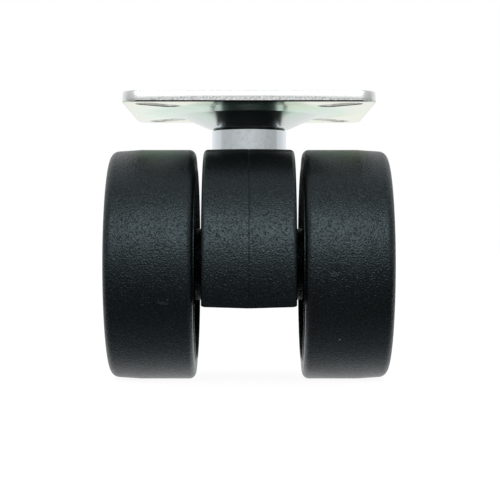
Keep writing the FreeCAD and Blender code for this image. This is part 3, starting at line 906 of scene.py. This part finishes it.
def sparked_dots(tree, place, seed):
    """Small domes all over, as a spark-eroded mould leaves them."""
    dots = add(tree, "ShaderNodeTexVoronoi", voronoi_dimensions="4D")
    dots.inputs["Scale"].default_value = 2500
    dots.inputs["W"].default_value = seed
    link(tree, place, dots.inputs["Vector"])
    return span(tree, dots.outputs["Distance"], (0.1, 0.55), (1.0, 0.0))


def grained_nylon(name, seed, pale_marks=(), dull_marks=(), crown=None, side=None):
    """Black nylon with the fine grain of its mould.

    Marks are patches with a middle, a reach and a strength: pale ones lighten the nylon, dull ones
    take its gloss. From just under the crown's height up it is rougher and has painted shade, its
    gloss lowered where the plate above keeps the light off; what stands out past the side has
    painted shade too, its gloss lowered where it sits between the drum and the wheels.
    """
    material, tree, shader = new_material(name)
    place = object_coordinates(tree)
    split = axes(tree, place)
    grain = noise(tree, place, seed, scale=2900, detail=1.0)
    blotches = noise(tree, place, seed + 7, scale=90, detail=3.0, roughness=0.55)
    colour = ramp(tree, grain, NYLON_GRAIN)
    rough = span(tree, blotches, (0.3, 0.7), NYLON_ROUGHNESS)
    gloss = span(tree, grain, (0.35, 0.65), NYLON_GLOSS)
    for centre, reach, strength in pale_marks:
        stops = [(at, [share * strength for share in shade]) for at, shade in SCUFF_GRAIN]
        scuffed = ramp(tree, grain, stops)
        colour = mixed(tree, patch(tree, place, centre, reach), colour, scuffed)
    for centre, reach, strength in dull_marks:
        mark = patch(tree, place, centre, reach)
        gloss = math_node(tree, "MULTIPLY_ADD", mark, -strength, gloss)
    if crown is not None:
        band = [crown - under * MM for under in CROWN_BAND]
        crown_band_share = span(tree, split["Z"], band, (0.0, 1.0))
        rough = math_node(tree, "MULTIPLY_ADD", crown_band_share, CROWN_ROUGHENING, rough)
        # Painted shade: the crown under the plate loses gloss as if shadowed.
        gloss = math_node(tree, "MULTIPLY_ADD", crown_band_share, -CROWN_PAINTED_SHADE, gloss)
    if side is not None:
        aside = math_node(tree, "ABSOLUTE", split["X"])
        boss_shade = math_node(tree, "GREATER_THAN", aside, side)
        # Painted shade: the bosses in the gap between drum and wheels lose gloss.
        gloss = math_node(tree, "MULTIPLY_ADD", boss_shade, -BOSS_PAINTED_SHADE, gloss)
    fine = bump(tree, grain, strength=0.75, distance=0.00013)
    domed = bump(tree, sparked_dots(tree, place, seed), strength=1.0, distance=0.00006, normal=fine)
    link(tree, colour, shader.inputs["Base Color"])
    link(tree, rough, shader.inputs["Roughness"])
    link(tree, gloss, shader.inputs["Specular IOR Level"])
    link(tree, domed, shader.inputs["Normal"])
    shader.inputs["Specular Tint"].default_value = NYLON_REFLECTION
    shader.inputs["IOR"].default_value = 1.5
    return material


# Zinc plating: its film from the dish outwards, its shades on the cut faces, a painted shadow line
# under the edge's lower arris, and its polish, which the cut faces and the pressed dish lose.
# Reaches are distances from the pin, in metres.

ZINC_FILM = [
    (0.05, (0.61, 0.645, 0.64)), (0.28, (0.575, 0.69, 0.62)), (0.42, (0.515, 0.715, 0.565)),
    (0.60, (0.57, 0.665, 0.475)), (0.80, (0.64, 0.665, 0.455)), (1.0, (0.585, 0.64, 0.55)),
]
ZINC_CUT = {
    "burnished": [(0.0, (0.85, 0.88, 0.87)), (1.0, (0.93, 0.96, 0.95))],
    "torn": [(0.35, (0.55, 0.57, 0.57)), (0.65, (0.98, 1.0, 0.99))],
    "slot_wall": [(0.35, (0.82, 0.83, 0.80)), (0.65, (0.94, 0.95, 0.92))],
    # The last entry is painted shadow: a near-black line along the straight stretches of the lower
    # arris.
    "painted_burr_shadow": [(0.0, (0.02, 0.022, 0.022)), (1.0, (0.05, 0.055, 0.055))],
}
FILM_REACH = (0.010, 0.036)
FILM_RANGE = (-0.45, 0.55)
FILM_CLOUDS = 0.9
ZINC_POLISH = (0.08, 0.13)
PRESSED_REACH = (0.021, 0.026)
PRESSED_DULLING = 0.11
CUT_DULLING = {"burnished": 0.2, "torn_edge": 0.22, "slot_wall": 0.35}


def plate_masks(tree, place, from_pin, seed):
    """Masks of the bands on the plate's edge, of the painted shadow line under it, and of the
    slots' walls.
    """
    height = axes(tree, place)["Z"]
    flat = vector_node(tree, "ABSOLUTE", vector_node(tree, "MULTIPLY", place, (1, 1, 0)))
    inner = (PLATE_HALF - PLATE_CORNER) * MM
    past_inner = vector_node(tree, "SUBTRACT", flat, (inner, inner, 0))
    beyond = vector_node(tree, "MAXIMUM", past_inner, (0, 0, 0))
    outwards = vector_node(tree, "LENGTH", beyond)
    edge = math_node(tree, "GREATER_THAN", outwards, (PLATE_CORNER - EDGE_ROLL) * MM)
    off_edge = math_node(tree, "SUBTRACT", 1.0, edge)
    above = math_node(tree, "GREATER_THAN", height, (EDGE_ARRIS - PLATE_THICKNESS) * MM)
    off_dish = math_node(tree, "GREATER_THAN", from_pin, (DISH_RIM + DISH_MARGIN) * MM)

    ragged = noise(tree, place, seed, scale=140, detail=5.0, roughness=0.62)
    wavy = span(tree, ragged, (0.3, 0.7),
                ((-SHEAR_DEPTH - TORN_WAVE) * MM, (TORN_WAVE - SHEAR_DEPTH) * MM))
    sides = axes(tree, flat)
    along = math_node(tree, "MINIMUM", sides["X"], sides["Y"])
    squared = math_node(tree, "MULTIPLY", along, along)
    limit = math_node(tree, "MULTIPLY_ADD", squared, -SHEAR_SAG / MM, wavy)
    below = math_node(tree, "LESS_THAN", height, limit)

    middle = math_node(tree, "COMPARE", height, -PLATE_THICKNESS / 2 * MM,
                       (PLATE_THICKNESS / 2 - SLOT_WALL_MARGIN) * MM)

    rim = math_node(tree, "GREATER_THAN", outwards, (PLATE_CORNER - EDGE_ARRIS) * MM)
    low = math_node(tree, "LESS_THAN", height, (BURR_SHADOW_HEIGHT - PLATE_THICKNESS) * MM)
    into_corner = axes(tree, beyond)
    round_corner = math_node(tree, "MINIMUM", into_corner["X"], into_corner["Y"])
    straight = math_node(tree, "LESS_THAN", round_corner, BURR_SHADOW_END * MM)
    torn = all_of(tree, below, above, off_dish)
    return {
        "burnished": all_of(tree, edge, above),
        "torn": torn,
        "torn_edge": all_of(tree, torn, edge),
        "slot_wall": all_of(tree, middle, off_dish, off_edge),
        "painted_burr_shadow": all_of(tree, rim, low, straight),
    }


def zinc_plating(name, seed):
    """Bright zinc with a faint passivation film, whiter on the sheared edge and grey where torn."""
    material, tree, shader = new_material(name)
    place = object_coordinates(tree)
    from_pin = vector_node(tree, "LENGTH", place)
    masks = plate_masks(tree, place, from_pin, seed + 4)

    clouds = noise(tree, place, seed, scale=60, detail=1.5)
    outer = span(tree, from_pin, FILM_REACH, FILM_RANGE)
    film = math_node(tree, "MULTIPLY_ADD", clouds, FILM_CLOUDS, outer)
    colour = ramp(tree, film, ZINC_FILM)
    speckle = noise(tree, place, seed + 6, scale=2400, roughness=0.6)
    for cut, shades in ZINC_CUT.items():
        colour = mixed(tree, masks[cut], colour, ramp(tree, speckle, shades))

    smears = noise(tree, place, seed + 2, scale=300, detail=3.0, roughness=0.6)
    rough = math_node(tree, "ADD", span(tree, smears, (0.3, 0.7), ZINC_POLISH),
                      span(tree, from_pin, PRESSED_REACH, (PRESSED_DULLING, 0.0)))
    for cut, dulling in CUT_DULLING.items():
        rough = math_node(tree, "MULTIPLY_ADD", masks[cut], dulling, rough)

    waves = noise(tree, place, seed + 5, scale=180)
    link(tree, colour, shader.inputs["Base Color"])
    link(tree, rough, shader.inputs["Roughness"])
    link(tree, bump(tree, waves, strength=0.06, distance=0.0002), shader.inputs["Normal"])
    shader.inputs["Metallic"].default_value = 1.0
    return material


# Steel. Painted shade darkens this share of a groove to both sides of its middle, where light
# cannot get in.

GROOVE_PAINTED_SHADE = (0.012, 0.014, 0.014)
GROOVE_SHADE_SHARE = 0.49
SMOOTHER, ROUGHER = 0.05, 0.08


def turned_steel(name, seed, colour, roughness, groove=None):
    """Turned steel; a groove, given by its lower and upper height, is darkened with painted shade.
    """
    material, tree, shader = new_material(name)
    place = object_coordinates(tree)
    shader.inputs["Base Color"].default_value = (*colour, 1.0)
    if groove is not None:
        low, high = groove
        # Painted shade: the narrow groove is coloured near black, as if no light reached into it.
        painted_groove_shade = math_node(tree, "COMPARE", axes(tree, place)["Z"],
                            (low + high) / 2 * MM, (high - low) * GROOVE_SHADE_SHARE * MM)
        shade = ramp(tree, painted_groove_shade, [(0.0, colour), (1.0, GROOVE_PAINTED_SHADE)])
        link(tree, shade, shader.inputs["Base Color"])
    rings = noise(tree, place, seed, scale=1500)
    rough = span(tree, rings, (0.3, 0.7), (roughness - SMOOTHER, roughness + ROUGHER))
    link(tree, rough, shader.inputs["Roughness"])
    shader.inputs["Metallic"].default_value = 1.0
    return material


# The finishes of the pieces

tread = AXLE / MM - Vector((0, WHEEL_RADIUS, 0))


def tread_mark(along, height, reach, strength):
    """A mark on a tread's trailing side, placed along and over the axle, in millimetres."""
    return (along, tread.y, tread.z + height), reach, strength


pale_marks = [
    tread_mark(-17.6, -7.75, (1.25, 6.0, 0.34), 0.045),
    tread_mark(-18.45, -7.15, (0.35, 6.0, 0.5), 0.03),
    tread_mark(-16.5, -7.05, (0.35, 6.0, 0.55), 0.03),
    tread_mark(17.4, -1.8, (1.4, 6.0, 0.55), 0.045),
    tread_mark(18.7, -15.4, (0.26, 12.0, 0.22), 0.5),
]
dull_marks = [
    tread_mark(17.45, -0.45, (1.5, 6.0, 1.1), 0.12),
    tread_mark(18.7, -15.4, (0.45, 12.0, 0.4), 0.3),
]
relief_top = -DISH_DEPTH - PLATE_THICKNESS

nylon_wheels = grained_nylon("grained_black_nylon_wheels", 1.0, pale_marks, dull_marks)
nylon_body = grained_nylon("grained_black_nylon_body", 5.0, crown=HOUSING_TOP * MM,
                           side=(DRUM_HALF_WIDTH + BOSS_SHADE_MARGIN) * MM)
zinc = zinc_plating("bright_zinc_plating", 2.0)
collar_steel = turned_steel("turned_bright_steel", 3.0, (0.80, 0.86, 0.89), 0.13,
                            groove=(relief_top - RELIEF_HEIGHT, relief_top))
spring_steel = turned_steel("dark_spring_steel", 4.0, (0.20, 0.20, 0.21), 0.35)

finishes = {
    "top_plate": zinc, "king_washer": zinc, "swivel_pin": collar_steel, "axle": collar_steel,
    "thrust_washer": nylon_body, "housing": nylon_body,
    "pin_retainer": spring_steel,
    "axle_retainer_left": spring_steel, "axle_retainer_right": spring_steel,
    "wheel_left": nylon_wheels, "wheel_right": nylon_wheels,
    "hub_cap_left": nylon_wheels, "hub_cap_right": nylon_wheels,
}
for node_name, finish in finishes.items():
    mesh = nodes[node_name].data
    mesh.materials.clear()
    mesh.materials.append(finish)

build_pieces()


# Studio: pale floor, white surroundings, one soft lamp in front and above.
# Each list gives levels of light by place, from 0 to 1 over the range named where it is used.

FLOOR_REACH = 60.0
FLOOR_WHITE = 0.93
FLOOR_SHADE = (0.16, 0.16, 0.16, 1)
GLOW_DEPTH = (-0.150, 0.0)
FLOOR_GLOW = [
    (0.0, 0.16), (0.433, 0.10), (0.573, 0.10), (0.667, 0.12), (0.713, 0.16),
    (0.753, 0.24), (0.787, 0.31), (0.813, 0.47), (0.847, 0.80), (0.873, 1.0),
]
BACK_TILT = 0.4
BEHIND = [(0.10, 0.0), (0.16, 0.30), (0.5, 0.45), (0.8, 0.70)]
UPWARD = [
    (0.0, 0.2), (0.30, 0.05), (0.43, 0.12), (0.50, 0.40), (0.53, 0.66),
    (0.66, 0.70), (0.82, 0.70), (0.90, 0.48), (0.96, 0.34), (1.0, 0.27),
]
ACROSS = [(0.0, 0.80), (0.35, 1.0), (0.65, 1.0), (1.0, 0.70)]


def studio_floor():
    """A wide floor: white with a shadow to the camera, for other rays a glow fading in front."""
    mesh = bpy.data.meshes.new("studio_floor")
    corners = [(x * FLOOR_REACH, y * FLOOR_REACH, FLOOR_HEIGHT)
               for x, y in ((-1, -1), (1, -1), (1, 1), (-1, 1))]
    mesh.from_pydata(corners, [], [(0, 1, 2, 3)])
    floor = scene_object("studio_floor", mesh)
    material, tree, shader = new_material("pale_floor")
    tree.nodes.remove(shader)
    white = add(tree, "ShaderNodeEmission")
    white.inputs["Strength"].default_value = FLOOR_WHITE
    matt = add(tree, "ShaderNodeBsdfDiffuse")
    matt.inputs["Color"].default_value = FLOOR_SHADE
    shadowed = add(tree, "ShaderNodeAddShader")
    link(tree, matt.outputs["BSDF"], shadowed.inputs[0])
    link(tree, white.outputs["Emission"], shadowed.inputs[1])
    depth = span(tree, axes(tree, object_coordinates(tree))["Y"], GLOW_DEPTH, (0.0, 1.0))
    glow = add(tree, "ShaderNodeEmission")
    link(tree, level_ramp(tree, depth, FLOOR_GLOW), glow.inputs["Strength"])
    rays = add(tree, "ShaderNodeLightPath")
    seen = add(tree, "ShaderNodeMixShader")
    link(tree, rays.outputs["Is Camera Ray"], seen.inputs["Fac"])
    link(tree, glow.outputs["Emission"], seen.inputs[1])
    link(tree, shadowed.outputs["Shader"], seen.inputs[2])
    link(tree, seen.outputs["Shader"], tree.nodes["Material Output"].inputs["Surface"])
    mesh.materials.append(material)


def whitened(tree, share, level):
    """A level of light, raised to full white by a share."""
    node = add(tree, "ShaderNodeMix", data_type="FLOAT")
    link(tree, share, node.inputs["Factor"])
    link(tree, level, node.inputs["A"])
    node.inputs["B"].default_value = 1.0
    return node.outputs["Result"]


def studio_surroundings():
    """White to the camera; for other rays brightest behind, darker below, overhead and aside."""
    world = bpy.data.worlds.new("white_studio")
    bpy.context.scene.world = world
    world.use_nodes = True
    tree = world.node_tree
    background = tree.nodes["Background"]
    direction = axes(tree, add(tree, "ShaderNodeTexCoord").outputs["Generated"])
    back_and_up = math_node(tree, "MULTIPLY_ADD", direction["Z"], BACK_TILT, direction["Y"])
    behind = level_ramp(tree, back_and_up, BEHIND)
    upward = level_ramp(tree, span(tree, direction["Z"], (-1.0, 1.0), (0.0, 1.0)), UPWARD)
    across = level_ramp(tree, span(tree, direction["X"], (-1.0, 1.0), (0.0, 1.0)), ACROSS)
    front = math_node(tree, "MULTIPLY", upward, across)
    rays = add(tree, "ShaderNodeLightPath")
    level = whitened(tree, rays.outputs["Is Camera Ray"], whitened(tree, behind, front))
    link(tree, level, background.inputs["Strength"])
    background.inputs["Color"].default_value = (1, 1, 1, 1)


def soft_lamp(name, elevation, distance, width, height, power):
    """A rectangular lamp in front of the caster, raised by an angle and aimed at the axle."""
    lamp = bpy.data.lights.new(name, "AREA")
    lamp.shape = "RECTANGLE"
    lamp.size = width
    lamp.size_y = height
    lamp.energy = power
    place = Vector((0, AXLE.y - distance * math.cos(elevation),
                    AXLE.z + distance * math.sin(elevation)))
    holder = scene_object(name, lamp)
    holder.location = place
    holder.rotation_mode = "QUATERNION"
    holder.rotation_quaternion = (AXLE - place).to_track_quat("-Z", "Y")


def photo_camera():
    """A level camera just over the axle's height, as far off as the photo's perspective shows."""
    distance = 331 * MM
    eye_over_axle = 3.1 * MM
    eye_aside = 0.2 * MM
    focal_pixels = 1508.6
    image_side = 500
    lens = bpy.data.cameras.new("photo_camera")
    lens.sensor_width = 36
    lens.lens = focal_pixels * lens.sensor_width / image_side
    lens.clip_start = 0.01
    lens.clip_end = 20
    camera = scene_object("photo_camera", lens)
    camera.location = (eye_aside, AXLE.y - distance, AXLE.z + eye_over_axle)
    camera.rotation_euler = (math.radians(90), 0, 0)
    bpy.context.scene.camera = camera


studio_floor()
studio_surroundings()
soft_lamp("soft_front_lamp", elevation=math.radians(35), distance=0.9,
          width=0.6, height=0.42, power=2.45)
photo_camera()
bpy.context.scene.view_settings.view_transform = "Standard"
